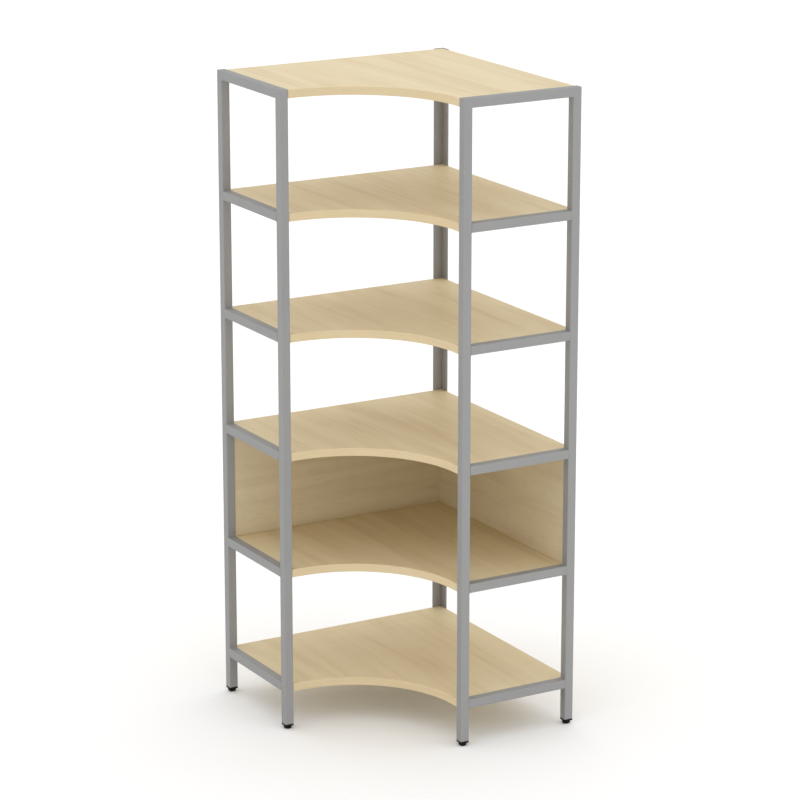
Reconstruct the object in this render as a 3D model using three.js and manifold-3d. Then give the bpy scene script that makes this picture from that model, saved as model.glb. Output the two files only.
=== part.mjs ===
// Corner shelf unit: two welded end frames of square steel tube, a folded steel angle as the rear
// corner post, six boards with a hollow curved front edge, two back panels in one bay, and five
// levelling glides. Millimetres, +Z up.
//
// The origin is on the floor, in the middle of the unit's square plan. The rear corner is at +X +Y,
// the left end frame stands at -X and the right end frame at -Y. The upright plane through the rear
// corner and the middle of the curved edge mirrors one half of the unit into the other.

import * as THREE from "three";
import { mergeVertices } from "three/addons/utils/BufferGeometryUtils.js";
import Module from "manifold-3d";

const wasm = await Module();
wasm.setup();

// Overall sizes
const UNIT_WIDTH = 790; // along each wall, from an end frame's outer face to the rear corner
const FRAME_DEPTH = 400; // an end frame, from its front face to its rear face
const SHELF_PITCH = 366.5; // from one rail's top to the next
const BOTTOM_LEVEL = 146.5; // top of the lowest rails above the floor
const BAY_COUNT = 5; // open bays between the boards
const PANEL_BAY = 4; // the bay with the back panels, counted from the top

// Square tube of the end frames
const TUBE = 28;
const TUBE_WALL = 1.5;
const TUBE_BEND = 0.5; // inner radius of the tube's corners

// Rear corner post, a folded angle
const ANGLE_LEG = 34;
const ANGLE_WALL = 3;
const FOOT_PLATE = 3; // thickness of the plate welded into its foot

// Boards and back panels
const BOARD = 25; // thickness
const BOARD_DROP = 1.5; // the boards lie this far below the tops of the rails
const BOARD_NOSE = 22; // straight front edge beside a front post, before the curve starts
const PANEL = 22; // thickness

// Ledges under the boards: flat bars on the rails and square plates in the corner post
const LEDGE = 2.5; // thickness
const LEDGE_REACH = 24; // how far a rail's ledge reaches under the board
const LEDGE_SETBACK = 30; // from the end of a rail's ledge to the post beside it

// Countersunk screws, driven up through the ledges
const SCREW_LENGTH = 20;
const SCREW_RADIUS = 2;
const SCREW_HEAD_RADIUS = 4;
const SCREW_HEAD = 2.2; // height of the conical head
const SCREW_POINT = 4;

// Dowels between the back panels and the boards below and above them
const DOWEL_RADIUS = 4;
const DOWEL_IN_BOARD = 12;
const DOWEL_IN_PANEL = 18;
const DOWEL_CHAMFER = 1;
const DOWEL_INSET = 80; // from a panel's end to the nearest dowel

// Levelling glides: a plastic pad moulded on a threaded stud
const GLIDE_PAD = 10; // height of the pad
const GLIDE_TOP_RADIUS = 13.5;
const GLIDE_WAIST_RADIUS = 11.5; // where the pad's side turns in to its bevel
const GLIDE_FOOT_RADIUS = 9.5; // the flat that stands on the floor
const GLIDE_BEVEL = 2; // height of the bevel round the flat
const STUD_RADIUS = 4;
const STUD_CHAMFER = 1;
const GLIDE_TRAVEL = 12; // how far a glide unscrews
const THREAD_KEPT = 13; // stud still held when the glide is right out

// Plastic inserts in the feet of the posts, and the nut in the foot of the corner post
const INSERT_FLANGE = 5.5;
const INSERT_DEPTH = 22;
const NUT_HEIGHT = 6.5;
const NUT_RADIUS = 7.5; // to its corners
const NUT_SIDES = 6;

// Clearances, and how far a cutter runs past what it cuts
const SEAT_GAP = 0.3; // between two pieces that bear on each other
const WELD_GAP = 0.3; // between two tubes that are welded together
const WELD_BITE = 0.5; // how deep a welded plate is let into what carries it
const OVERRUN = 5;
const MERGE_TOLERANCE = 1e-4; // corners closer than this are one corner

// Facets
const CURVE_SEGMENTS = 28;
const BEND_SEGMENTS = 2;
const ROUND_SIDES = 8;
const GLIDE_SIDES = 16;

// Places in plan. X and Y share them, because the unit is the same along both walls.
const REAR = UNIT_WIDTH / 2; // the two rear planes
const OUTER = -UNIT_WIDTH / 2; // outer faces of the end frames
const INNER = OUTER + TUBE; // faces of the end frames that look into the unit
const FRONT = REAR - FRAME_DEPTH; // front faces of the front posts
const TUBE_LINE = OUTER + TUBE / 2; // centre line of an end frame
const FRAME_MIDDLE = (FRONT + REAR) / 2;
const CURVE_CENTRE = INNER + BOARD_NOSE;
const CURVE_RADIUS = FRONT - CURVE_CENTRE;
const BOARD_SIDE = INNER + SEAT_GAP;
const BOARD_REAR = REAR - ANGLE_WALL - SEAT_GAP;
const PANEL_MIDDLE = BOARD_REAR - PANEL / 2;
const RAIL_SCREW_LINE = INNER + LEDGE_REACH / 2;
const CORNER_MIDDLE = REAR - (ANGLE_WALL + ANGLE_LEG) / 2; // middle of the angle's inside

// Heights above the floor
const UNIT_HEIGHT = BOTTOM_LEVEL + BAY_COUNT * SHELF_PITCH;
const GLIDE_SEAT = GLIDE_PAD + SEAT_GAP; // what a glide stops against when it is screwed in
const TUBE_FOOT = GLIDE_SEAT + INSERT_FLANGE + SEAT_GAP;
const STUD_TIP = GLIDE_PAD + THREAD_KEPT + GLIDE_TRAVEL;

// Heights measured from the top of a rail
const BOARD_TOP = -BOARD_DROP;
const BOARD_BOTTOM = BOARD_TOP - BOARD;
const LEDGE_TOP = BOARD_BOTTOM - SEAT_GAP;
const LEDGE_BOTTOM = LEDGE_TOP - LEDGE;
const RAIL_FLOOR = TUBE_WALL - TUBE; // inside of the rail's lower wall

const X = new THREE.Vector3(1, 0, 0);
const Y = new THREE.Vector3(0, 1, 0);
const Z = new THREE.Vector3(0, 0, 1);

// Finishes
const powderCoat = new THREE.MeshStandardMaterial({ color: 0x9f9f9e, roughness: 0.55, metalness: 0.2 });
const maple = new THREE.MeshStandardMaterial({ color: 0xe6d3ac, roughness: 0.6, metalness: 0 });
const blackPlastic = new THREE.MeshStandardMaterial({ color: 0x1c1c1a, roughness: 0.5, metalness: 0 });
const zincSteel = new THREE.MeshStandardMaterial({ color: 0xb8babd, roughness: 0.35, metalness: 1 });
const beech = new THREE.MeshStandardMaterial({ color: 0xcfae7c, roughness: 0.7, metalness: 0 });

// Solids

function solid(geometry) {
  const bare = geometry.clone();
  bare.deleteAttribute("normal");
  bare.deleteAttribute("uv");
  const merged = mergeVertices(bare, MERGE_TOLERANCE);
  const mesh = new wasm.Mesh({
    numProp: 3,
    vertProperties: new Float32Array(merged.attributes.position.array),
    triVerts: new Uint32Array(merged.index.array),
  });
  return new wasm.Manifold(mesh);
}

function surface(made) {
  const { vertProperties, triVerts } = made.getMesh();
  const indexed = new THREE.BufferGeometry();
  indexed.setAttribute("position", new THREE.BufferAttribute(new Float32Array(vertProperties), 3));
  indexed.setIndex(new THREE.BufferAttribute(new Uint32Array(triVerts), 1));
  const faceted = indexed.toNonIndexed();
  faceted.computeVertexNormals();
  return faceted;
}

// One closed body: the joined geometries, less those that are cut from them.
function body(joined, cut = []) {
  let made = solid(joined[0]);
  for (const geometry of joined.slice(1)) {
    made = made.add(solid(geometry));
  }
  for (const geometry of cut) {
    made = made.subtract(solid(geometry));
  }
  return surface(made);
}

function piece(name, geometry, material, [x, y, z] = [0, 0, 0]) {
  const mesh = new THREE.Mesh(geometry, material);
  mesh.name = name;
  mesh.position.set(x, y, z);
  return mesh;
}

// Forms

function block([x0, x1], [y0, y1], [z0, z1]) {
  const geometry = new THREE.BoxGeometry(x1 - x0, y1 - y0, z1 - z0);
  return geometry.translate((x0 + x1) / 2, (y0 + y1) / 2, (z0 + z1) / 2);
}

function extruded(shape, length, curveSegments = BEND_SEGMENTS) {
  return new THREE.ExtrudeGeometry(shape, { depth: length, bevelEnabled: false, curveSegments });
}

// A square with rounded corners, centred on zero, drawn on a shape or on the path of a hole.
function roundedSquare(path, side, radius) {
  const reach = side / 2 - radius;
  const quarter = Math.PI / 2;
  const corners = [[reach, reach], [-reach, reach], [-reach, -reach], [reach, -reach]];
  corners.forEach(([x, y], turn) => path.absarc(x, y, radius, turn * quarter, (turn + 1) * quarter));
  return path;
}

// Square tube that runs along +Z from zero.
function tube(length) {
  const shape = roundedSquare(new THREE.Shape(), TUBE, TUBE_BEND + TUBE_WALL);
  shape.holes.push(roundedSquare(new THREE.Path(), TUBE - 2 * TUBE_WALL, TUBE_BEND));
  return extruded(shape, length);
}

// A turned form round the Z axis. Its outline lists [radius, height] from the bottom up.
function turned(outline, sides = ROUND_SIDES) {
  const points = outline.map(([radius, height]) => new THREE.Vector2(radius, height));
  return new THREE.LatheGeometry(points, sides).rotateX(Math.PI / 2);
}

function cylinder(radius, [low, high], sides = ROUND_SIDES) {
  return turned([[0, low], [radius, low], [radius, high], [0, high]], sides);
}

// Height of a rail's top. The top rail is number 0, and the numbers go down.
function level(number) {
  return BOTTOM_LEVEL + (BAY_COUNT - number) * SHELF_PITCH;
}

const levelNumbers = Array.from({ length: BAY_COUNT + 1 }, (_, number) => number);

// Screws

const screw = turned([
  [0, 0],
  [SCREW_HEAD_RADIUS, 0],
  [SCREW_RADIUS, SCREW_HEAD],
  [SCREW_RADIUS, SCREW_LENGTH - SCREW_POINT],
  [0, SCREW_LENGTH],
]);

// The countersunk hole in a ledge, from the ledge's underside up.
const ledgeHole = turned([
  [0, -OVERRUN],
  [SCREW_HEAD_RADIUS + SEAT_GAP, -OVERRUN],
  [SCREW_HEAD_RADIUS + SEAT_GAP, 0],
  [SCREW_RADIUS + SEAT_GAP, SCREW_HEAD],
  [SCREW_RADIUS + SEAT_GAP, LEDGE + OVERRUN],
  [0, LEDGE + OVERRUN],
]);

function boardName(number) {
  return number === 0 ? "top_board" : `shelf_${number}`;
}

function boardScrew(number, end, [x, y]) {
  const height = level(number) + LEDGE_BOTTOM;
  return piece(`${boardName(number)}_${end}_screw`, screw, zincSteel, [x, y, height]);
}

// End frame, built as the left one

// A prism with one face on the mitre that runs in and down from the outer top corner of a post.
// above says whether it fills the top rail's side of the mitre or the post's side.
function mitrePrism(corner, inward, above) {
  const shift = above ? -WELD_GAP / 2 : WELD_GAP / 2;
  const start = [corner - inward * OVERRUN, UNIT_HEIGHT + OVERRUN + shift];
  const end = [corner + inward * (TUBE + OVERRUN), UNIT_HEIGHT - TUBE - OVERRUN + shift];
  const third = above ? [end[0], start[1]] : [start[0], end[1]];
  const shape = new THREE.Shape([start, end, third].map(([y, z]) => new THREE.Vector2(y, z)));
  const prism = extruded(shape, TUBE + 2 * OVERRUN);
  prism.applyMatrix4(new THREE.Matrix4().makeBasis(Y, Z, X));
  return prism.translate(OUTER - OVERRUN, 0, 0);
}

function post(name, outerFace, inward) {
  const middle = outerFace + (inward * TUBE) / 2;
  const upright = tube(UNIT_HEIGHT - TUBE_FOOT).translate(TUBE_LINE, middle, TUBE_FOOT);
  return piece(name, body([upright], [mitrePrism(outerFace, inward, true)]), powderCoat);
}

// Square tube along Y with its top at height zero.
function railTube(front, rear) {
  const rail = tube(rear - front);
  rail.applyMatrix4(new THREE.Matrix4().makeBasis(Z, X, Y));
  return rail.translate(TUBE_LINE, front, -TUBE / 2);
}

// The bar that carries a board, with the root that welds it to the rail's inner wall.
function railLedge() {
  const run = [FRONT + TUBE + LEDGE_SETBACK, REAR - TUBE - LEDGE_SETBACK];
  const bar = block([INNER - TUBE_WALL, INNER + LEDGE_REACH], run, [LEDGE_BOTTOM, LEDGE_TOP]);
  const rootHeights = [Math.min(LEDGE_BOTTOM, RAIL_FLOOR), Math.max(LEDGE_TOP, RAIL_FLOOR)];
  const root = block([INNER - TUBE_WALL, INNER], run, rootHeights);
  return [bar, root];
}

function railLedgeHole() {
  return ledgeHole.clone().translate(RAIL_SCREW_LINE, FRAME_MIDDLE, LEDGE_BOTTOM);
}

function topRail(name) {
  const mitres = [mitrePrism(FRONT, 1, false), mitrePrism(REAR, -1, false)];
  mitres.forEach((prism) => prism.translate(0, 0, -UNIT_HEIGHT));
  const form = body([railTube(FRONT, REAR), ...railLedge()], [...mitres, railLedgeHole()]);
  return piece(name, form, powderCoat, [0, 0, UNIT_HEIGHT]);
}

function shelfRails(side) {
  const reach = TUBE + WELD_GAP;
  const form = body([railTube(FRONT + reach, REAR - reach), ...railLedge()], [railLedgeHole()]);
  return levelNumbers
    .slice(1)
    .map((number) => piece(`${side}_rail_${number}`, form, powderCoat, [0, 0, level(number)]));
}

// Feet

function insert() {
  const plug = TUBE - 2 * TUBE_WALL - 2 * SEAT_GAP;
  const top = INSERT_FLANGE + INSERT_DEPTH;
  const flange = extruded(roundedSquare(new THREE.Shape(), TUBE, TUBE_BEND + TUBE_WALL), INSERT_FLANGE);
  const core = extruded(roundedSquare(new THREE.Shape(), plug, TUBE_BEND), top);
  const bore = cylinder(STUD_RADIUS + SEAT_GAP, [-OVERRUN, top + OVERRUN], GLIDE_SIDES);
  return body([flange, core], [bore]);
}

function glide() {
  const outline = [
    [0, 0],
    [GLIDE_FOOT_RADIUS, 0],
    [GLIDE_WAIST_RADIUS, GLIDE_BEVEL],
    [GLIDE_TOP_RADIUS, GLIDE_PAD],
    [STUD_RADIUS, GLIDE_PAD],
    [STUD_RADIUS, STUD_TIP - STUD_CHAMFER],
    [STUD_RADIUS - STUD_CHAMFER, STUD_TIP],
    [0, STUD_TIP],
  ];
  return turned(outline, GLIDE_SIDES);
}

const insertForm = insert();
const glideForm = glide();

// One foot of an end frame: the insert in the post, and the glide screwed up into it.
function foot(name, y) {
  return [
    piece(`${name}_insert`, insertForm, blackPlastic, [TUBE_LINE, y, GLIDE_SEAT]),
    piece(`${name}_glide`, glideForm, blackPlastic, [TUBE_LINE, y, 0]),
  ];
}

function endFrame(side) {
  const frame = new THREE.Group();
  frame.add(
    post(`${side}_rear_post`, REAR, -1),
    post(`${side}_front_post`, FRONT, 1),
    topRail(`${side}_top_rail`),
    ...shelfRails(side),
    ...foot(`${side}_rear`, REAR - TUBE / 2),
    ...foot(`${side}_front`, FRONT + TUBE / 2),
    ...levelNumbers.map((number) => boardScrew(number, side, [RAIL_SCREW_LINE, FRAME_MIDDLE])),
  );
  return frame;
}

// Rear corner post

// The angle's outline: the fold's outer radius is the wall, so its inside corner is sharp.
function angleOutline() {
  const tip = REAR - ANGLE_LEG;
  const inside = REAR - ANGLE_WALL;
  const shape = new THREE.Shape();
  shape.moveTo(tip, REAR);
  shape.lineTo(tip, inside);
  shape.lineTo(inside, inside);
  shape.lineTo(inside, tip);
  shape.lineTo(REAR, tip);
  shape.absarc(inside, inside, ANGLE_WALL, 0, Math.PI / 2);
  return shape;
}

function cornerPost() {
  const angle = extruded(angleOutline(), UNIT_HEIGHT - GLIDE_SEAT).translate(0, 0, GLIDE_SEAT);
  const plate = [REAR - ANGLE_LEG, REAR - ANGLE_WALL + WELD_BITE];
  const ledges = levelNumbers.map((number) => {
    const top = level(number);
    return block(plate, plate, [top + LEDGE_BOTTOM, top + LEDGE_TOP]);
  });
  const footPlate = block(plate, plate, [GLIDE_SEAT, GLIDE_SEAT + FOOT_PLATE]);
  const nutHeights = [GLIDE_SEAT + FOOT_PLATE - WELD_BITE, GLIDE_SEAT + FOOT_PLATE + NUT_HEIGHT];
  const nut = cylinder(NUT_RADIUS, nutHeights, NUT_SIDES);
  const bore = cylinder(STUD_RADIUS + SEAT_GAP, [GLIDE_SEAT - OVERRUN, STUD_TIP + OVERRUN], GLIDE_SIDES);
  const holes = levelNumbers.map((number) => {
    const hole = ledgeHole.clone();
    return hole.translate(CORNER_MIDDLE, CORNER_MIDDLE, level(number) + LEDGE_BOTTOM);
  });
  for (const geometry of [nut, bore]) {
    geometry.translate(CORNER_MIDDLE, CORNER_MIDDLE, 0);
  }
  return piece("corner_post", body([angle, ...ledges, footPlate, nut], [bore, ...holes]), powderCoat);
}

// Boards

function boardOutline() {
  const shape = new THREE.Shape();
  shape.moveTo(BOARD_REAR, BOARD_REAR);
  shape.lineTo(BOARD_SIDE, BOARD_REAR);
  shape.lineTo(BOARD_SIDE, FRONT);
  shape.absarc(CURVE_CENTRE, CURVE_CENTRE, CURVE_RADIUS, Math.PI / 2, 0, true);
  shape.lineTo(FRONT, BOARD_SIDE);
  shape.lineTo(BOARD_REAR, BOARD_SIDE);
  return shape;
}

// The board over the panel bay has no screw in the corner post: the panels would bar the way to it,
// and their dowels hold that corner.
const cornerScrewNumbers = levelNumbers.filter((number) => number !== PANEL_BAY - 1);

// The places of a board's screws in plan.
function screwPlaces(number) {
  const places = [
    [RAIL_SCREW_LINE, FRAME_MIDDLE],
    [FRAME_MIDDLE, RAIL_SCREW_LINE],
  ];
  if (cornerScrewNumbers.includes(number)) {
    places.push([CORNER_MIDDLE, CORNER_MIDDLE]);
  }
  return places;
}

// The dowels' places along a panel, from the board's side edge to the panel's inner end.
function dowelStations(innerEnd) {
  return [BOARD_SIDE + DOWEL_INSET, innerEnd - DOWEL_INSET];
}

// The left panel runs right into the corner, and the right one stops against it.
const leftPanelEnd = BOARD_REAR;
const rightPanelEnd = BOARD_REAR - PANEL - SEAT_GAP;

const dowelPlaces = [
  ...dowelStations(leftPanelEnd).map((x) => [x, PANEL_MIDDLE]),
  ...dowelStations(rightPanelEnd).map((y) => [PANEL_MIDDLE, y]),
];

// A board with its underside at height zero, its screw holes, and any dowel holes.
function board(number) {
  const screwTip = LEDGE_BOTTOM + SCREW_LENGTH - BOARD_BOTTOM;
  const pilot = cylinder(SCREW_RADIUS + SEAT_GAP, [-OVERRUN, screwTip + SEAT_GAP]);
  const holes = screwPlaces(number).map(([x, y]) => pilot.clone().translate(x, y, 0));
  const depth = DOWEL_IN_BOARD + SEAT_GAP;
  const drilledHeights = {
    [PANEL_BAY]: [BOARD - depth, BOARD + OVERRUN],
    [PANEL_BAY - 1]: [-OVERRUN, depth],
  };
  if (number in drilledHeights) {
    const drilled = cylinder(DOWEL_RADIUS + SEAT_GAP, drilledHeights[number]);
    holes.push(...dowelPlaces.map(([x, y]) => drilled.clone().translate(x, y, 0)));
  }
  const form = body([extruded(boardOutline(), BOARD, CURVE_SEGMENTS)], holes);
  return piece(boardName(number), form, maple, [0, 0, level(number) + BOARD_BOTTOM]);
}

// Back panels, built as the left one

const panelFoot = level(PANEL_BAY) + BOARD_TOP + SEAT_GAP;
const panelHead = level(PANEL_BAY - 1) + BOARD_BOTTOM - SEAT_GAP;

// A panel that ends at innerEnd, cleared at its top corner for the corner post's ledge.
function backPanel(name, innerEnd) {
  const thickness = [BOARD_REAR - PANEL, BOARD_REAR];
  const sheet = block([BOARD_SIDE, innerEnd], thickness, [panelFoot, panelHead]);
  const clearance = block(
    [REAR - ANGLE_LEG - SEAT_GAP, REAR + OVERRUN],
    [BOARD_REAR - PANEL - OVERRUN, REAR + OVERRUN],
    [level(PANEL_BAY - 1) + LEDGE_BOTTOM - SEAT_GAP, panelHead + OVERRUN],
  );
  const radius = DOWEL_RADIUS + SEAT_GAP;
  const depth = DOWEL_IN_PANEL + SEAT_GAP;
  const holes = dowelStations(innerEnd).flatMap((x) => [
    cylinder(radius, [panelFoot - OVERRUN, panelFoot + depth]).translate(x, PANEL_MIDDLE, 0),
    cylinder(radius, [panelHead - depth, panelHead + OVERRUN]).translate(x, PANEL_MIDDLE, 0),
  ]);
  return piece(name, body([sheet], [clearance, ...holes]), maple);
}

// A dowel along Z, with the face between its two pieces at height zero.
function dowel(below, above) {
  return turned([
    [0, -below],
    [DOWEL_RADIUS - DOWEL_CHAMFER, -below],
    [DOWEL_RADIUS, DOWEL_CHAMFER - below],
    [DOWEL_RADIUS, above - DOWEL_CHAMFER],
    [DOWEL_RADIUS - DOWEL_CHAMFER, above],
    [0, above],
  ]);
}

const lowerDowel = dowel(DOWEL_IN_BOARD, DOWEL_IN_PANEL);
const upperDowel = dowel(DOWEL_IN_PANEL, DOWEL_IN_BOARD);

function panelWithDowels(side, innerEnd) {
  const group = new THREE.Group();
  group.add(backPanel(`${side}_back_panel`, innerEnd));
  dowelStations(innerEnd).forEach((x, index) => {
    const end = ["outer", "inner"][index];
    group.add(
      piece(`${side}_panel_${end}_lower_dowel`, lowerDowel, beech, [x, PANEL_MIDDLE, panelFoot]),
      piece(`${side}_panel_${end}_upper_dowel`, upperDowel, beech, [x, PANEL_MIDDLE, panelHead]),
    );
  });
  return group;
}

// Assembly

// Swaps X and Y, which turns what is built for the left wall into its match on the right.
function mirrored(...parts) {
  const group = new THREE.Group();
  group.add(...parts);
  group.matrixAutoUpdate = false;
  group.matrix.makeBasis(Y, X, Z);
  return group;
}

const unit = new THREE.Group();
unit.add(
  endFrame("left"),
  mirrored(endFrame("right")),
  cornerPost(),
  piece("corner_glide", glideForm, blackPlastic, [CORNER_MIDDLE, CORNER_MIDDLE, 0]),
  ...levelNumbers.map(board),
  ...cornerScrewNumbers.map((number) => boardScrew(number, "corner", [CORNER_MIDDLE, CORNER_MIDDLE])),
  panelWithDowels("left", leftPanelEnd),
  mirrored(panelWithDowels("right", rightPanelEnd)),
);

export default unit;
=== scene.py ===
# %% [markdown]
# Corner shelf unit
#
# This unit stands in the corner of an office. Two end frames of welded square tube and one folded
# angle at the rear corner carry six boards, whose front edge is a hollow curve. One bay is closed
# behind by two panels, and five small feet level the unit.
#
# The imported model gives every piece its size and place. What is missing is what the eye reads:
# rounded tube corners, edge bands, wood grain, powder coat, threads and screw recesses. So each
# solid is measured, built again as a finer mesh in the same place, and put in the solid's stead.

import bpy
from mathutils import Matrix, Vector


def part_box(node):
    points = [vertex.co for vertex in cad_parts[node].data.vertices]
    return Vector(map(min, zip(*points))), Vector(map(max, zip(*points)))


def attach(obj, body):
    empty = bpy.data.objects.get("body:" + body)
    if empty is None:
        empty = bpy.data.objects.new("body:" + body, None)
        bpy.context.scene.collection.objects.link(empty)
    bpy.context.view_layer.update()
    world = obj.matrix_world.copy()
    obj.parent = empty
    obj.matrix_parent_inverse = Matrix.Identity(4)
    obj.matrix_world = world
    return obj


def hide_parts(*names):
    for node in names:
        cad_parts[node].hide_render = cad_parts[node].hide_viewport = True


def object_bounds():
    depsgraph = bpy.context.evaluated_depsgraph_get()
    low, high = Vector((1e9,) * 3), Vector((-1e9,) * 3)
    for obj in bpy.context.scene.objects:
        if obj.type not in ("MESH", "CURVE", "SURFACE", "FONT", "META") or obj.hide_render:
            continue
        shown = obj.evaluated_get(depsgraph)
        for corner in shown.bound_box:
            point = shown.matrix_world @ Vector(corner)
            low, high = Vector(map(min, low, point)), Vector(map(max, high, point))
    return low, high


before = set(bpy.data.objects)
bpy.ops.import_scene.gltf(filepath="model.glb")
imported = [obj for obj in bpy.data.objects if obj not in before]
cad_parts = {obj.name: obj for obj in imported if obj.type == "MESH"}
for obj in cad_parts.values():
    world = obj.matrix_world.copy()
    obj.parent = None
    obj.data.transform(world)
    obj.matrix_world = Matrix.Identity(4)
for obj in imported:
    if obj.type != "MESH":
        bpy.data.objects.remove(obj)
print("loaded:", len(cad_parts), "nodes")

# %% [markdown]
# The bounding box of the imported model is kept now, before anything is added.

# %% Keep the imported model's box
import math

import bmesh
import bpy
from mathutils import Matrix, Vector

MM = 0.001
cad_low, cad_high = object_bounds()
print("packed model", [round(x, 4) for x in cad_high - cad_low], "m")

# %% [markdown]
# All further places come from a few measured solids. One post gives the tube, one rail gives the
# height of its board, and one board gives the outline that all six share. The unit is the same
# along both walls, so a value read along X also holds along Y.

# %% Measure the solids
post_low, post_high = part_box("left_rear_post")
front_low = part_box("left_front_post")[0]
board_low, board_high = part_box("top_board")
angle_low, angle_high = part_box("corner_post")

TUBE = post_high.x - post_low.x
OUTER = post_low.x
INNER = post_high.x
REAR = post_high.y
FRONT = front_low.y
TUBE_LINE = (OUTER + INNER) / 2
FRAME_MIDDLE = (FRONT + REAR) / 2
TOP = cad_high.z
TUBE_FOOT = post_low.z
BOARD_SIDE = board_low.x
BOARD_REAR = board_high.x
ANGLE_LEG = angle_high.x - angle_low.x
BAY_COUNT = 5

rail_tops = [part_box("left_top_rail")[1].z]
rail_tops += [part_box(f"left_rail_{number}")[1].z for number in range(1, BAY_COUNT + 1)]
board_names = ["top_board"] + [f"shelf_{number}" for number in range(1, BAY_COUNT + 1)]
print("tube", round(TUBE / MM, 2), "mm, rail tops at", [round(z, 4) for z in rail_tops])

# %% [markdown]
# Most pieces here are flat stock: a board, a bar, a plate, even the long angle post. Each is an
# outline swept through its thickness, with its edges softened on the way. Blender could sweep a
# filled curve, but a mesh built ring by ring lets each ring have its own inset, height and
# material, so one helper makes an edge band's seam and a plate's soft arris alike.

# %% Outlines
def rounded(points, radius, steps=4):
    """The outline with every corner replaced by an arc. Points run anticlockwise."""
    made = []
    count = len(points)
    for i, corner in enumerate(points):
        corner = Vector(corner)
        before = (Vector(points[i - 1]) - corner).normalized()
        after = (Vector(points[(i + 1) % count]) - corner).normalized()
        half = before.angle(after) / 2
        start = corner + before * (radius / math.tan(half))
        end = corner + after * (radius / math.tan(half))
        centre = corner + (before + after).normalized() * (radius / math.sin(half))
        for step in range(steps + 1):
            away = (start - centre).slerp(end - centre, step / steps)
            made.append(centre + away.normalized() * radius)
    return made


def rectangle(x0, x1, y0, y1):
    return [(x0, y0), (x1, y0), (x1, y1), (x0, y1)]


def circle(x, y, radius, sides=32):
    turns = [2 * math.pi * side / sides for side in range(sides)]
    return [Vector((x + radius * math.cos(turn), y + radius * math.sin(turn))) for turn in turns]


def inset(points, distance):
    """An anticlockwise outline moved inwards by distance, corners kept."""
    made = []
    count = len(points)
    for i, point in enumerate(points):
        along_in = (point - points[i - 1]).normalized()
        along_out = (points[(i + 1) % count] - point).normalized()
        inward_in = Vector((-along_in.y, along_in.x))
        inward_out = Vector((-along_out.y, along_out.x))
        middle = (inward_in + inward_out).normalized()
        made.append(point + middle * (distance / middle.dot(inward_out)))
    return made


print("a square with rounded corners:", len(rounded(rectangle(0, 1, 0, 1), 0.2)), "points")

# %% [markdown]
# A ring is one such outline at one height. Two rings are joined by a strip of faces, and the
# first and the last ring are closed by a flat face. That face is cut into triangles, because it
# may be hollow on one side, as a board is, or have screw holes in it.

# %% Rings
def ring(bm, points, z):
    return [bm.verts.new((point[0], point[1], z)) for point in points]


def bridge(bm, low, high, material=0):
    """Joins two rings of as many points, the first below the second, seen from outside."""
    count = len(low)
    for i in range(count):
        j = (i + 1) % count
        face = bm.faces.new((low[i], low[j], high[j], high[i]))
        face.material_index = material


def fill(bm, rings, up):
    """A flat face bounded by the first ring, with a hole for each further ring."""
    edges = []
    for verts in rings:
        for i, vert in enumerate(verts):
            edges.append(bm.edges.get((vert, verts[i - 1])) or bm.edges.new((vert, verts[i - 1])))
    made = bmesh.ops.triangle_fill(bm, use_beauty=True, edges=edges)
    for face in made["geom"]:
        if isinstance(face, bmesh.types.BMFace):
            face.normal_update()
            if (face.normal.z > 0) != up:
                face.normal_flip()


print("ring helpers:", ", ".join(helper.__name__ for helper in (ring, bridge, fill)))

# %% [markdown]
# A slab's profile says how far each ring is inset and how high it lies. Sheared, sawn and coated
# edges are never knife sharp, so most profiles are two quarter rounds with a straight side
# between them. A bevel modifier could round them too, but it would round every hole as well.

# %% Slabs
def slab(bm, outline, profile, holes=()):
    """Sweeps an outline along Z. profile lists (inset, height, material of the strip above it).

    A hole goes right through, and lists (outline, height) from its lower mouth upwards.
    """
    rings = [ring(bm, inset(outline, depth), z) for depth, z, _ in profile]
    for low, high, (_, _, material) in zip(rings, rings[1:], profile):
        bridge(bm, low, high, material)
    bores = [[ring(bm, points, z) for points, z in hole] for hole in holes]
    for bore in bores:
        for low, high in zip(bore, bore[1:]):
            bridge(bm, high, low)
    fill(bm, [rings[0], *(bore[0] for bore in bores)], up=False)
    fill(bm, [rings[-1], *(bore[-1] for bore in bores)], up=True)


def soft_edges(low, high, radius, steps=3, material=0):
    """A slab's profile whose two edges are quarter rounds of that radius."""
    made = []
    for step in range(steps + 1):
        turn = math.pi / 2 * step / steps
        made.append((radius * (1 - math.sin(turn)), low + radius * (1 - math.cos(turn)), material))
    for step in range(steps + 1):
        turn = math.pi / 2 * step / steps
        made.append((radius * (1 - math.cos(turn)), high - radius * (1 - math.sin(turn)), material))
    return made


print("a slab with soft edges:", len(soft_edges(0, 1, 0.1)), "rings")

# %% [markdown]
# A finished mesh becomes a piece by the same few steps each time: shade it smooth, weigh its
# normals by face area so that flats stay flat beside soft edges, let it ride on the frame or on
# a foot, name its finish, and hide the solid that it stands for.
#
# Everything on the right wall is the left wall's match with X and Y swapped. A swap mirrors the
# mesh, so its faces are turned round again.

# %% Finish a piece
SWAP = Matrix(((0, 1, 0, 0), (1, 0, 0, 0), (0, 0, 1, 0), (0, 0, 0, 1)))
SMOOTH_ANGLE = math.radians(40)


def piece(name, bm, materials, body="frame", node=None, swap=False):
    if swap:
        bm.transform(SWAP)
        bmesh.ops.reverse_faces(bm, faces=bm.faces)
    mesh = bpy.data.meshes.new(name)
    bm.to_mesh(mesh)
    bm.free()
    for material in materials:
        mesh.materials.append(material)
    return place(name, mesh, body, node)


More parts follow.
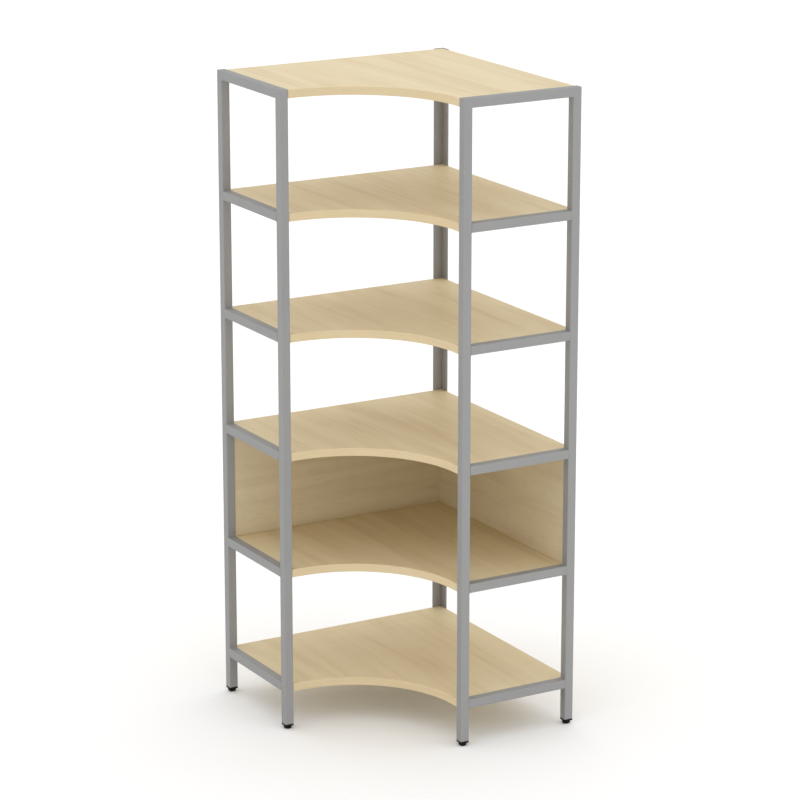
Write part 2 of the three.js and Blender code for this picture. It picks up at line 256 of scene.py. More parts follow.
def place(name, mesh, body="frame", node=None, at=(0, 0, 0)):
    mesh.shade_smooth()
    mesh.set_sharp_from_angle(angle=SMOOTH_ANGLE)
    made = bpy.data.objects.new(name, mesh)
    made.location = at
    bpy.context.scene.collection.objects.link(made)
    weighted = made.modifiers.new("weighted_normals", "WEIGHTED_NORMAL")
    weighted.keep_sharp = True
    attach(made, body)
    if node:
        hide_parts(node)
    return made


print("edges that turn by more than", round(math.degrees(SMOOTH_ANGLE)), "degrees stay sharp")

# %% [markdown]
# Before the pieces come their finishes, because each mesh names its materials as it is made.
#
# Every finish is a small node tree over object coordinates. They are real metres here, so a
# noise that repeats every 30 mm is written as such. A finish could also be painted on unwrapped
# meshes, but a tree needs no seams, and the grain then runs through a board as it should.

# %% Colours and noise
WHITE = (1, 1, 1, 1)


def new_material(name):
    material = bpy.data.materials.new(name)
    material.use_nodes = True
    tree = material.node_tree
    return material, tree, tree.nodes["Principled BSDF"]


def srgb(red, green, blue):
    """A colour read in 0 to 255, as the linear values that a socket wants."""
    def linear(value):
        value /= 255
        return value / 12.92 if value <= 0.04045 else ((value + 0.055) / 1.055) ** 2.4
    return (linear(red), linear(green), linear(blue), 1)


def even(size):
    """The size of a noise that is as long as it is wide and high."""
    return (size, size, size)


def noise(tree, size, detail=3, roughness=0.5, distortion=0, shift=0):
    """Noise whose features are about size = (x, y, z) metres across."""
    where = tree.nodes.new("ShaderNodeTexCoord")
    mapping = tree.nodes.new("ShaderNodeMapping")
    mapping.inputs["Scale"].default_value = [1 / length for length in size]
    mapping.inputs["Location"].default_value = (shift, shift, shift)
    made = tree.nodes.new("ShaderNodeTexNoise")
    made.inputs["Scale"].default_value = 1
    made.inputs["Detail"].default_value = detail
    made.inputs["Roughness"].default_value = roughness
    made.inputs["Distortion"].default_value = distortion
    tree.links.new(where.outputs["Object"], mapping.inputs["Vector"])
    tree.links.new(mapping.outputs["Vector"], made.inputs["Vector"])
    return made.outputs["Fac"]


print("a grey written as 160 is", round(srgb(160, 160, 160)[0], 3), "in linear light")

# %% [markdown]
# Noise seldom leaves the range from 0.3 to 0.7, so that is the range that the next helpers
# stretch: over a ramp of colours, or into a roughness that drifts between two values. Laying
# one pattern over another by multiplying can only darken, which is what grain and speckle do
# to a finish. A bump makes relief of noise that is far too fine to model.

# %% Node helpers
NOISE_LOW = 0.3
NOISE_HIGH = 0.7


def ramp(tree, factor, stops):
    """A colour for each position in stops, blended between them."""
    node = tree.nodes.new("ShaderNodeValToRGB")
    elements = node.color_ramp.elements
    for index, (position, colour) in enumerate(stops):
        element = elements[index] if index < 2 else elements.new(position)
        element.position = position
        element.color = colour
    tree.links.new(factor, node.inputs["Fac"])
    return node.outputs["Color"]


def darken(tree, share, colour, pattern):
    """The colour multiplied by that share of the pattern."""
    node = tree.nodes.new("ShaderNodeMix")
    node.data_type = "RGBA"
    node.blend_type = "MULTIPLY"
    node.inputs["Factor"].default_value = share
    tree.links.new(colour, node.inputs["A"])
    tree.links.new(pattern, node.inputs["B"])
    return node.outputs["Result"]


def spread(tree, factor, low, high):
    """The noise's usual range stretched to run from low to high."""
    node = tree.nodes.new("ShaderNodeMapRange")
    node.inputs["From Min"].default_value = NOISE_LOW
    node.inputs["From Max"].default_value = NOISE_HIGH
    node.inputs["To Min"].default_value = low
    node.inputs["To Max"].default_value = high
    tree.links.new(factor, node.inputs["Value"])
    return node.outputs["Result"]


def bump(tree, shader, factor, depth, strength):
    node = tree.nodes.new("ShaderNodeBump")
    node.inputs["Strength"].default_value = strength
    node.inputs["Distance"].default_value = depth
    tree.links.new(factor, node.inputs["Height"])
    tree.links.new(node.outputs["Normal"], shader.inputs["Normal"])


print("node helpers:", ", ".join(helper.__name__ for helper in (ramp, darken, spread, bump)))

# %% [markdown]
# Maple decor is a printed paper pressed on chipboard. On the real boards it is pale, with broad
# soft streaks along the grain, finer lines between them, short dashes like those of real maple,
# and a faint shimmer across. The grain of a shelf runs along the right wall, and that of a back
# panel lies level.
#
# A wave texture would give even rings, which this decor doesn't have. Noise stretched along the
# grain gives streaks that start and fade, at four scales that are laid over each other. The
# decor is matt, so it mirrors less than the shader would by itself.

# %% Maple decor
GRAIN = {"x": 0, "y": 1, "z": 2}
STREAK_SIZE = (750 * MM, 60 * MM)
STREAK_MIDDLE = 0.52
LINE_SIZE = (350 * MM, 12 * MM)
LINE_SHADE = (0.93, 0.91, 0.88, 1)
LINE_SHARE = 0.10
SHIMMER_SIZE = (30 * MM, 150 * MM)
SHIMMER_SHADE = (0.97, 0.97, 0.965, 1)
SHIMMER_SHARE = 0.6
DASH_SIZE = (40 * MM, 3.5 * MM)
DASH_EDGE = 0.44
DASH_SHADE = (0.90, 0.87, 0.83, 1)
DECOR_SHEEN = 0.3
DECOR_RELIEF = 0.03 * MM


def along(axis, size):
    """The size of a noise that is stretched along the grain. size is (length, width)."""
    length, width = size
    made = [width, width, width]
    made[GRAIN[axis]] = length
    return made


def maple(name, axis, dash_share, light, middle, dark):
    material, tree, shader = new_material(name)
    streaks = noise(tree, along(axis, STREAK_SIZE), detail=2, distortion=0.8)
    lines = noise(tree, along(axis, LINE_SIZE), detail=2, roughness=0.45, distortion=0.4, shift=7)
    shimmer = noise(tree, along(axis, SHIMMER_SIZE), detail=2, shift=13)
    dashes = noise(tree, along(axis, DASH_SIZE), detail=2, shift=21)
    base = ramp(tree, streaks, [(NOISE_LOW, light), (NOISE_HIGH, dark), (STREAK_MIDDLE, middle)])
    fine = ramp(tree, lines, [(0.35, WHITE), (0.72, LINE_SHADE)])
    across = ramp(tree, shimmer, [(NOISE_LOW, SHIMMER_SHADE), (NOISE_HIGH, WHITE)])
    short = ramp(tree, dashes, [(NOISE_LOW, DASH_SHADE), (DASH_EDGE, WHITE)])
    colour = darken(tree, LINE_SHARE, base, fine)
    colour = darken(tree, SHIMMER_SHARE, colour, across)
    colour = darken(tree, dash_share, colour, short)
    tree.links.new(colour, shader.inputs["Base Color"])
    tree.links.new(spread(tree, lines, 0.46, 0.58), shader.inputs["Roughness"])
    shader.inputs["Specular IOR Level"].default_value = DECOR_SHEEN
    bump(tree, shader, dashes, DECOR_RELIEF, 0.4)
    return material


BOARD_DASHES = 0.25
BOARD_TONES = (srgb(225, 208, 170), srgb(221, 203, 164), srgb(214, 194, 154))
PANEL_DASHES = 0.6
PANEL_TONES = (srgb(227, 212, 179), srgb(222, 206, 172), srgb(212, 195, 160))
shelf_maple = maple("maple_shelf", "y", BOARD_DASHES, *BOARD_TONES)
left_panel_maple = maple("maple_panel_left", "x", PANEL_DASHES, *PANEL_TONES)
right_panel_maple = maple("maple_panel_right", "y", PANEL_DASHES, *PANEL_TONES)
print("decor:", [material.name for material in (shelf_maple, left_panel_maple, right_panel_maple)])

# %% [markdown]
# The edge band is a strip of plastic in the decor's colour, glued round a board once it is cut.
# It is a little warmer and lighter than the faces, and it has no pores, only faint streaks along
# its length. So its noise is long and wide but only 3 mm high, and slow patches over it keep a
# long edge from looking printed.

# %% Edge band
BAND_STREAK_SIZE = (120 * MM, 120 * MM, 3 * MM)
BAND_TONES = (srgb(233, 213, 173), srgb(226, 204, 162))
BAND_PATCH_SIZE = (200 * MM, 200 * MM, 50 * MM)
BAND_PATCH_SHADE = (0.96, 0.955, 0.94, 1)
BAND_PATCH_SHARE = 0.8
BAND_RELIEF = 0.02 * MM


def edge_band():
    material, tree, shader = new_material("maple_edge_band")
    light, dark = BAND_TONES
    streaks = noise(tree, BAND_STREAK_SIZE, detail=4, roughness=0.6)
    patches = noise(tree, BAND_PATCH_SIZE, detail=2, shift=5)
    base = ramp(tree, streaks, [(NOISE_LOW, light), (NOISE_HIGH, dark)])
    tone = ramp(tree, patches, [(NOISE_LOW, BAND_PATCH_SHADE), (NOISE_HIGH, WHITE)])
    tree.links.new(darken(tree, BAND_PATCH_SHARE, base, tone), shader.inputs["Base Color"])
    tree.links.new(spread(tree, streaks, 0.40, 0.50), shader.inputs["Roughness"])
    shader.inputs["Specular IOR Level"].default_value = DECOR_SHEEN
    bump(tree, shader, streaks, BAND_RELIEF, 0.3)
    return material


band_maple = edge_band()
print("edge band:", len(band_maple.node_tree.nodes), "nodes")

# %% [markdown]
# The steel is powder coated in silver grey. Fine aluminium flakes in the powder make the coat a
# little metallic, and it melts to a satin skin that is never quite flat: light breaks up over
# waves about a millimetre across, which painters call orange peel. So the shader is part metal,
# a bump has the scale of the waves, and a speckle has that of the flakes. Flakes lie flat and
# dull at a low angle, which the dark specular tint stands for. Roughness that drifts a little
# keeps long tubes from looking like plain plastic.

# %% Powder coat
COAT_DRIFT_SIZE = (90 * MM, 90 * MM, 250 * MM)
COAT_TONES = (srgb(165, 165, 165), srgb(170, 170, 169))
PEEL_SIZE = 1.3 * MM
PEEL_RELIEF = 0.04 * MM
FLAKE_SIZE = 0.4 * MM
FLAKE_SHADE = (0.94, 0.94, 0.94, 1)
FLAKE_SHARE = 0.7
FLAKE_METAL = 0.4
FLAKE_LOW_ANGLE_TINT = (0.3, 0.3, 0.3, 1)
COAT_SHEEN = 0.12


def powder_coat():
    material, tree, shader = new_material("coat_grey")
    dark, light = COAT_TONES
    drift = noise(tree, COAT_DRIFT_SIZE)
    peel = noise(tree, even(PEEL_SIZE), detail=2, roughness=0.4, shift=3)
    flakes = noise(tree, even(FLAKE_SIZE), detail=1, shift=9)
    tone = ramp(tree, drift, [(NOISE_LOW, dark), (NOISE_HIGH, light)])
    speckle = ramp(tree, flakes, [(NOISE_LOW, FLAKE_SHADE), (NOISE_HIGH, WHITE)])
    tree.links.new(darken(tree, FLAKE_SHARE, tone, speckle), shader.inputs["Base Color"])
    tree.links.new(spread(tree, drift, 0.60, 0.70), shader.inputs["Roughness"])
    shader.inputs["Metallic"].default_value = FLAKE_METAL
    shader.inputs["Specular IOR Level"].default_value = COAT_SHEEN
    shader.inputs["Specular Tint"].default_value = FLAKE_LOW_ANGLE_TINT
    bump(tree, shader, peel, PEEL_RELIEF, 0.35)
    return material


coat = powder_coat()
print("powder coat:", len(coat.node_tree.nodes), "nodes")

# %% [markdown]
# Small parts need small finishes: moulded plastic with the fine etch of its mould, zinc plate
# that is bright but cloudy, and beech with short dark flecks along the dowel.

# %% Plastic, zinc and beech
ETCH_SIZE = 0.5 * MM
ETCH_RELIEF = 0.03 * MM
PLASTIC_CLOUD = 9 * MM
PLASTIC_SHEEN = 0.2
ZINC_CLOUD = 3 * MM
ZINC_RELIEF = 0.02 * MM
FLECK_SIZE = (0.6 * MM, 0.6 * MM, 6 * MM)
FLECK_RELIEF = 0.05 * MM
BEECH_ROUGHNESS = 0.7


def black_plastic():
    material, tree, shader = new_material("plastic_black")
    etch = noise(tree, even(ETCH_SIZE), detail=2)
    cloud = noise(tree, even(PLASTIC_CLOUD), shift=4)
    tone = ramp(tree, cloud, [(NOISE_LOW, srgb(9, 9, 9)), (NOISE_HIGH, srgb(16, 16, 15))])
    tree.links.new(tone, shader.inputs["Base Color"])
    tree.links.new(spread(tree, cloud, 0.55, 0.68), shader.inputs["Roughness"])
    shader.inputs["Specular IOR Level"].default_value = PLASTIC_SHEEN
    bump(tree, shader, etch, ETCH_RELIEF, 0.5)
    return material


def zinc_steel():
    material, tree, shader = new_material("zinc_plate")
    cloud = noise(tree, even(ZINC_CLOUD), detail=4)
    tone = ramp(tree, cloud, [(NOISE_LOW, srgb(196, 199, 204)), (NOISE_HIGH, srgb(221, 221, 217))])
    shader.inputs["Metallic"].default_value = 1
    tree.links.new(tone, shader.inputs["Base Color"])
    tree.links.new(spread(tree, cloud, 0.24, 0.38), shader.inputs["Roughness"])
    bump(tree, shader, cloud, ZINC_RELIEF, 0.2)
    return material


def beech():
    material, tree, shader = new_material("beech_wood")
    flecks = noise(tree, FLECK_SIZE, roughness=0.6)
    tone = ramp(tree, flecks, [(0.35, srgb(196, 158, 112)), (0.6, srgb(214, 181, 136))])
    tree.links.new(tone, shader.inputs["Base Color"])
    shader.inputs["Roughness"].default_value = BEECH_ROUGHNESS
    bump(tree, shader, flecks, FLECK_RELIEF, 0.4)
    return material


plastic, zinc, dowel_wood = black_plastic(), zinc_steel(), beech()
print("small finishes:", [material.name for material in (plastic, zinc, dowel_wood)])

# %% [markdown]
# The end frames are square tube. Its corners are rolled, so a bright line runs along each one,
# and that line tells the eye that this is tube and not bar. A cube with a bevel would look the
# same from outside, but real tube is hollow, and a ring of outer and inner walls costs little.
#
# Posts and top rail meet in a mitre. The cut plane falls a millimetre for each millimetre
# inwards, so both tubes find it from their own outline.

# %% Square tube
TUBE_WALL = 1.5 * MM
TUBE_ROUND = 2.0 * MM
ROUND_STEPS = 5

half = TUBE / 2
outer_section = rounded(rectangle(-half, half, -half, half), TUBE_ROUND, ROUND_STEPS)
bore = half - TUBE_WALL
inner_section = rounded(rectangle(-bore, bore, -bore, bore), TUBE_ROUND - TUBE_WALL, ROUND_STEPS)


def sleeve(bm, rings):
    """Joins rings of points into one closed skin, the last to the first."""
    made = [[bm.verts.new(point) for point in points] for points in rings]
    for low, high in zip(made, made[1:] + made[:1]):
        bridge(bm, low, high)
    bmesh.ops.recalc_face_normals(bm, faces=bm.faces)


def post(side, end, outer_face, inward):
    bm = bmesh.new()
    middle = outer_face + inward * half

    def level_ring(section):
        return [(TUBE_LINE + u, middle + v, TUBE_FOOT) for u, v in section]

    def mitre_ring(section):
        return [(TUBE_LINE + u, middle + v, TOP - (half + inward * v)) for u, v in section]

    sleeve(bm, [level_ring(outer_section), mitre_ring(outer_section),
                mitre_ring(inner_section), level_ring(inner_section)])
    node = f"{side}_{end}_post"
    return piece(f"{node}_tube", bm, [coat], node=node, swap=side == "right")


print("tube section:", len(outer_section), "points outside,", round(bore * 2 / MM, 1), "mm bore")

# %% [markdown]
# A shelf rail is cut square and welded between the posts. The weld leaves a small fillet above
# and below, so the rail's last rings grow a little upwards and downwards. On the outer face
# nothing fills the post's rolled corner, and it leaves a narrow groove before the rail's cut end.
# Looked at from the post's side, that groove is a fine dark line. From the rail's side, the
# corner itself turns to the light and the line is gone.
#
# A weld could be a string of beads, but these are ground, so a few rings with a soft curve do.

# %% Rails
WELD_RUN = 1.8 * MM
WELD_RISE = 1.1 * MM
# Each ring's share of the run away from the joint, and its share of the rise
WELD_SHARES = [(0.0, 1.0), (0.3, 0.45), (0.65, 0.12), (1.0, 0.0)]


def rail_tube(bm, top):
    start, end = FRONT + TUBE, REAR - TUBE
    middle = top - half

    def welded_ring(y, swell):
        grown = 1 + swell * WELD_RISE / half
        return [(TUBE_LINE + u, y, middle + w * grown) for u, w in outer_section]

    rings = [welded_ring(start + away * WELD_RUN, swell) for away, swell in WELD_SHARES]
    rings += [welded_ring(end - away * WELD_RUN, swell) for away, swell in reversed(WELD_SHARES)]
    rings.append([(TUBE_LINE + u, end, middle + w) for u, w in inner_section])
    rings.append([(TUBE_LINE + u, start, middle + w) for u, w in inner_section])
    sleeve(bm, rings)


def top_rail_tube(bm):
    middle = TOP - half

    def mitre_ring(section, face, inward):
        return [(TUBE_LINE + u, face + inward * (half - w), middle + w) for u, w in section]

    sleeve(bm, [mitre_ring(outer_section, FRONT, 1), mitre_ring(outer_section, REAR, -1),
                mitre_ring(inner_section, REAR, -1), mitre_ring(inner_section, FRONT, 1)])


print("rails run", round((REAR - FRONT - 2 * TUBE) / MM, 1), "mm between the posts")

# %% [markdown]
# Under each board a flat bar is welded to the rail, with one countersunk hole for a screw from
# below. It can't be seen from eye height, but it is the first thing that a look from below finds.

# %% Ledges
LEDGE = 2.5 * MM
LEDGE_REACH = 24 * MM
LEDGE_SETBACK = 30 * MM
LEDGE_CORNER = 4 * MM
LEDGE_ARRIS = 0.4 * MM
SCREW_HEAD = 4.0 * MM
SCREW_SHANK = 2.0 * MM
HOLE_ROOM = 0.3 * MM

ledge_drop = rail_tops[1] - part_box("left_rail_1")[0].z
rail_screw_line = INNER + LEDGE_REACH / 2


def countersunk(x, y, low, high):
    """A hole through a plate, wide below and narrow above."""
    return [(circle(x, y, SCREW_HEAD + HOLE_ROOM), low), (circle(x, y, SCREW_SHANK + HOLE_ROOM), high)]


def ledge(bm, top):
    low = top - ledge_drop
    run = rectangle(INNER - TUBE_WALL, INNER + LEDGE_REACH,
                    FRONT + TUBE + LEDGE_SETBACK, REAR - TUBE - LEDGE_SETBACK)
    outline = rounded(run, LEDGE_CORNER)
    hole = countersunk(rail_screw_line, FRAME_MIDDLE, low, low + LEDGE)
    slab(bm, outline, soft_edges(low, low + LEDGE, LEDGE_ARRIS), holes=[hole])


def rail(side, number):
    bm = bmesh.new()
    top = rail_tops[number]
    if number == 0:
        top_rail_tube(bm)
    else:
        rail_tube(bm, top)
    ledge(bm, top)
    node = f"{side}_top_rail" if number == 0 else f"{side}_rail_{number}"
    return piece(f"{node}_tube", bm, [coat], node=node, swap=side == "right")


print("ledges hang", round(ledge_drop / MM, 1), "mm below the rail tops, less their own thickness")

# %% [markdown]
# With the tube, the rails and their ledges at hand, one loop makes the left end frame and its
# match along the right wall. Each tube stays a piece of its own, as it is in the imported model.

# %% Both end frames
for side in ("left", "right"):
    post(side, "rear", REAR, -1)
    post(side, "front", FRONT, 1)
    for number in range(BAY_COUNT + 1):
        rail(side, number)
print("end frames: 4 posts and", 2 * (BAY_COUNT + 1), "rails")

# %% [markdown]
# The rear corner post is folded from plate: a thin, open angle with a round outer corner. Square
# plates in its corner carry the boards, and at its foot a plate with a welded nut takes the stud.
# The fold is only an outline, so the same slab helper sweeps it up the whole height.

# %% Corner post
ANGLE_WALL = 3 * MM
ANGLE_ARRIS = 0.5 * MM
FOLD_ROUND = 3 * MM
FOLD_HOLLOW = 0.8 * MM
FOLD_STEPS = 8
NUT_CORNERS = 7.5 * MM
NUT_SIDES = 6
NUT_HEIGHT = 6.5 * MM
STUD = 4 * MM

corner_inside = REAR - ANGLE_WALL
corner_tip = REAR - ANGLE_LEG
corner_middle = (corner_inside + corner_tip) / 2
foot_height = angle_low.z


def arc(x, y, radius, start, end, steps):
    """Points on an arc, from one angle in degrees to another."""
    turns = [math.radians(start + (end - start) * step / steps) for step in range(steps + 1)]
    return [Vector((x + radius * math.cos(turn), y + radius * math.sin(turn))) for turn in turns]


def angle_outline():
    fold = REAR - FOLD_ROUND
    hollow = corner_inside - FOLD_HOLLOW
    return [
        *arc(fold, fold, FOLD_ROUND, 0, 90, FOLD_STEPS),
        Vector((corner_tip, REAR)),
        Vector((corner_tip, corner_inside)),
        *arc(hollow, hollow, FOLD_HOLLOW, 90, 0, FOLD_STEPS),
        Vector((corner_inside, corner_tip)),
        Vector((REAR, corner_tip)),
    ]


def corner_plate(bm, low, high, hole):
    outline = rounded(rectangle(corner_tip, corner_inside, corner_tip, corner_inside), LEDGE_ARRIS)
    slab(bm, outline, soft_edges(low, high, LEDGE_ARRIS), holes=[hole])


def corner_post():
    bm = bmesh.new()
    slab(bm, angle_outline(), soft_edges(foot_height, TOP, ANGLE_ARRIS))
    for top in rail_tops:
        low = top - ledge_drop
        corner_plate(bm, low, low + LEDGE, countersunk(corner_middle, corner_middle, low, low + LEDGE))
    plate_top = foot_height + ANGLE_WALL
    bore_outline = circle(corner_middle, corner_middle, STUD + HOLE_ROOM)
    corner_plate(bm, foot_height, plate_top, [(bore_outline, foot_height), (bore_outline, plate_top)])
    nut = rounded(circle(corner_middle, corner_middle, NUT_CORNERS, NUT_SIDES), LEDGE_ARRIS)
    nut_top = plate_top + NUT_HEIGHT
    slab(bm, nut, soft_edges(plate_top, nut_top, LEDGE_ARRIS),
         holes=[[(bore_outline, plate_top), (bore_outline, nut_top)]])
    return piece("corner_post_angle", bm, [coat], node="corner_post")


corner_post()
print("corner post", round(ANGLE_LEG / MM, 1), "mm angle from", round(foot_height, 4), "to", round(TOP, 4))

# %% [markdown]
# A board is chipboard with decor on both faces and a plastic band glued round its edges. Two
# things show that: the band is a shade lighter than the decor, and a hair-fine seam runs round
# the face where they meet. A texture could fake the seam, but rings are already at hand, so it
# is a real groove a tenth of a millimetre deep, with the band's own material outside it.
#
# The front edge is a quarter circle, hollow towards the person, and runs on into a short
# straight nose beside each front post.

# %% Boards
BAND = 2.0 * MM
BAND_ARRIS = 1.0 * MM
SEAM = 0.1 * MM
BOARD_NOSE = 22 * MM
BOARD_CORNER = 2.5 * MM
CORNER_STEPS = 4
CURVE_STEPS = 96
DECOR, EDGE = 0, 1

curve_centre = INNER + BOARD_NOSE
curve_radius = FRONT - curve_centre


def banded(low, high):
    """A slab's profile with a band round it and a fine seam in both faces."""
    seam_low = [(BAND + 2 * SEAM, low, DECOR), (BAND + SEAM, low + SEAM, EDGE), (BAND, low, EDGE)]
    seam_high = [(BAND, high, EDGE), (BAND + SEAM, high - SEAM, DECOR), (BAND + 2 * SEAM, high, DECOR)]
    return seam_low + soft_edges(low, high, BAND_ARRIS, CORNER_STEPS, EDGE) + seam_high


def corner_at(x, y, start):
    """A rounded board corner, whose arc starts at that angle in degrees."""
    return arc(x, y, BOARD_CORNER, start, start + 90, CORNER_STEPS)


def board_outline():
    near, far = BOARD_SIDE + BOARD_CORNER, BOARD_REAR - BOARD_CORNER
    front = FRONT + BOARD_CORNER
    return [
        *corner_at(far, far, 0),
        *corner_at(near, far, 90),
        *corner_at(near, front, 180),
        *arc(curve_centre, curve_centre, curve_radius, 90, 0, CURVE_STEPS),
        *corner_at(front, near, 180),
        *corner_at(far, near, 270),
    ]


def board(name):
    low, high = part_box(name)
    bm = bmesh.new()
    slab(bm, board_outline(), banded(low.z, high.z))
    return piece(f"{name}_panel", bm, [shelf_maple, band_maple], node=name)


for name in board_names:
    board(name)
print("boards:", len(board_names), "with a curve of radius", round(curve_radius / MM, 1), "mm")

# %% [markdown]
# The two back panels are the same stock, but upright. A slab is swept along Z, so a panel is
# drawn lying down and turned up against the wall. At its top inner corner it is cut out round
# the corner post's ledge.

# %% Back panels
CUT_OUT = 0.3 * MM
UPRIGHT = Matrix(((1, 0, 0, 0), (0, 0, -1, 0), (0, 1, 0, 0), (0, 0, 0, 1)))
ledge_under_panel_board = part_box("shelf_3")[0].z - LEDGE - 2 * CUT_OUT


def back_panel(side, material):
    node = f"{side}_back_panel"
    low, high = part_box(node)
    swap = side == "right"
    start, end = (low.y, high.y) if swap else (low.x, high.x)
    thin, thick = (low.x, high.x) if swap else (low.y, high.y)
    cut_x, cut_z = corner_tip - CUT_OUT, ledge_under_panel_board
    corners = [(start, low.z), (end, low.z), (end, cut_z), (cut_x, cut_z), (cut_x, high.z), (start, high.z)]
    bm = bmesh.new()
    slab(bm, rounded(corners, BOARD_CORNER), banded(-thick, -thin))
    bm.transform(UPRIGHT)
    return piece(f"{node}_sheet", bm, [material, band_maple], node=node, swap=swap)


back_panel("left", left_panel_maple)
back_panel("right", right_panel_maple)
print("back panels: 2, cut out at", round(ledge_under_panel_board, 4), "m")

# %% [markdown]
# Screws, studs and dowels are turned or rolled, so each is a stack of rings round one axis. A
# thread is the same stack with the radius of each point set by how far it lies along the helix.
# All copies of a fastener share one mesh, as they would come out of one box.

# %% Turned forms
def stack(bm, rings):
    """Joins rings of points from the bottom up and closes both ends."""
    made = [[bm.verts.new(point) for point in points] for points in rings]
    for low, high in zip(made, made[1:]):
        bridge(bm, low, high)
    bm.faces.new(reversed(made[0]))
    bm.faces.new(made[-1])


def turned_ring(radius, z, sides):
    return [(point.x, point.y, z) for point in circle(0, 0, radius, sides)]


def threaded_ring(root, crest, pitch, z, sides):
    """One ring of a thread: its radius rises and falls once for each pitch along the helix."""
    points = []
    for side, point in enumerate(circle(0, 0, 1, sides)):
        phase = (z / pitch - side / sides) % 1
        height = 1 - abs(2 * phase - 1)
        radius = root + (crest - root) * height
        points.append((point.x * radius, point.y * radius, z))
    return points


def shared_mesh(name, bm, materials):
    mesh = bpy.data.meshes.new(name)
    bm.to_mesh(mesh)
    bm.free()
    for material in materials:
        mesh.materials.append(material)
    return mesh


def centre_of(node):
    low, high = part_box(node)
    middle = (low + high) / 2
    return middle.x, middle.y, low.z


print("first glide stands at", [round(x, 4) for x in centre_of("left_front_glide")])

# %% [markdown]
# The board screws are countersunk with a cross recess. Only the heads show, from below, so the
# recess has its true tapered walls, and the shank gets a coarse chipboard thread.

# %% Board screws
SCREW_LENGTH = 20 * MM
SCREW_HEAD_HEIGHT = 2.2 * MM
SCREW_ROOT = 1.4 * MM
SCREW_PITCH = 1.8 * MM
SCREW_POINT = 4 * MM
SCREW_TIP_SHARE = 0.02
RECESS_REACH = 2.2 * MM
RECESS_HALF_WIDTH = 0.5 * MM
RECESS_DEPTH = 1.5 * MM
RECESS_TAPER_SHARE = 0.55
SCREW_SIDES = 24
SCREW_STEPS = 72


def cross(scale):
    reach, width = RECESS_REACH * scale, RECESS_HALF_WIDTH
    arm = [(reach, -width), (reach, width), (width, width)]
    turned = []
    for quarter in range(4):
        spin = Matrix.Rotation(math.pi / 2 * quarter, 2)
        turned += [spin @ Vector(point) for point in arm]
    return turned


def screw_mesh():
    bm = bmesh.new()
    rim = ring(bm, circle(0, 0, SCREW_HEAD, SCREW_SIDES), 0)
    mouth = ring(bm, cross(1), 0)
    floor = ring(bm, cross(RECESS_TAPER_SHARE), RECESS_DEPTH)
    bridge(bm, floor, mouth)
    fill(bm, [floor], up=False)
    fill(bm, [rim, mouth], up=False)
    neck = [bm.verts.new(point) for point in turned_ring(SCREW_ROOT, SCREW_HEAD_HEIGHT, SCREW_SIDES)]
    bridge(bm, rim, neck)
    below = neck
    for step in range(1, SCREW_STEPS + 1):
        z = SCREW_HEAD_HEIGHT + (SCREW_LENGTH - SCREW_HEAD_HEIGHT) * step / SCREW_STEPS
        slim = min(1, (SCREW_LENGTH - z) / SCREW_POINT + SCREW_TIP_SHARE)
        points = threaded_ring(SCREW_ROOT * slim, SCREW_SHANK * slim, SCREW_PITCH, z, SCREW_SIDES)
        above = [bm.verts.new(point) for point in points]
        bridge(bm, below, above)
        below = above
    bm.faces.new(below)
    return shared_mesh("countersunk_screw", bm, [zinc])


screws = screw_mesh()
screw_nodes = sorted(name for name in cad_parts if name.endswith("_screw"))
for node in screw_nodes:
    place(f"{node}_threaded", screws, node=node, at=centre_of(node))
print("screws:", len(screw_nodes), "of", len(screws.vertices), "points")

# %% [markdown]
# Dowels are beech with pressed flutes that let the glue out. They are hidden once the unit
# stands, and the flutes are one outline swept up, with chamfered ends.

# %% Dowels
DOWEL_FLUTES = 16
FLUTE_DEPTH = 0.25 * MM
DOWEL_CHAMFER = 1 * MM


def dowel_mesh(name, length):
    bm = bmesh.new()
    outline = []
    sides = 2 * DOWEL_FLUTES
    for side, point in enumerate(circle(0, 0, 1, sides)):
        outline.append(point * (STUD - (FLUTE_DEPTH if side % 2 else 0)))
    rings = [(1 - DOWEL_CHAMFER / STUD, 0), (1, DOWEL_CHAMFER),
             (1, length - DOWEL_CHAMFER), (1 - DOWEL_CHAMFER / STUD, length)]
    stack(bm, [[(p.x * scale, p.y * scale, z) for p in outline] for scale, z in rings])
    return shared_mesh(name, bm, [dowel_wood])


dowel_nodes = sorted(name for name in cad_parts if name.endswith("_dowel"))
dowel_low, dowel_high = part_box(dowel_nodes[0])
dowels = dowel_mesh("fluted_dowel", dowel_high.z - dowel_low.z)
for node in dowel_nodes:
    place(f"{node}_fluted", dowels, node=node, at=centre_of(node))
print("dowels:", len(dowel_nodes), "of", round((dowel_high.z - dowel_low.z) / MM, 1), "mm")

# %% [markdown]
# Each tube post ends in a black insert. Its thick flange is as wide as the tube and shows as a
# dark band under the post, and its plug, a little smaller than the tube's bore, holds the thread
# of the foot. It is one more slab: the flange's soft edge, a step inwards, and the plug.

# %% Inserts
FLANGE = 5.5 * MM
FLANGE_ARRIS = 0.4 * MM
INSERT_ROOM = 0.3 * MM

plug_inset = TUBE_WALL + INSERT_ROOM
insert_nodes = sorted(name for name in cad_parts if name.endswith("_insert"))
insert_low, insert_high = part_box(insert_nodes[0])
INSERT_HEIGHT = insert_high.z - insert_low.z


def insert_mesh():
    bm = bmesh.new()
    outline = rounded(rectangle(-half, half, -half, half), TUBE_ROUND, ROUND_STEPS)
    edge = soft_edges(0, FLANGE, FLANGE_ARRIS)
    profile = edge + [(plug_inset, FLANGE, 0), (plug_inset, INSERT_HEIGHT, 0)]
    bore_outline = circle(0, 0, STUD + INSERT_ROOM)
    slab(bm, outline, profile, holes=[[(bore_outline, 0), (bore_outline, INSERT_HEIGHT)]])
    return shared_mesh("tube_insert", bm, [plastic])


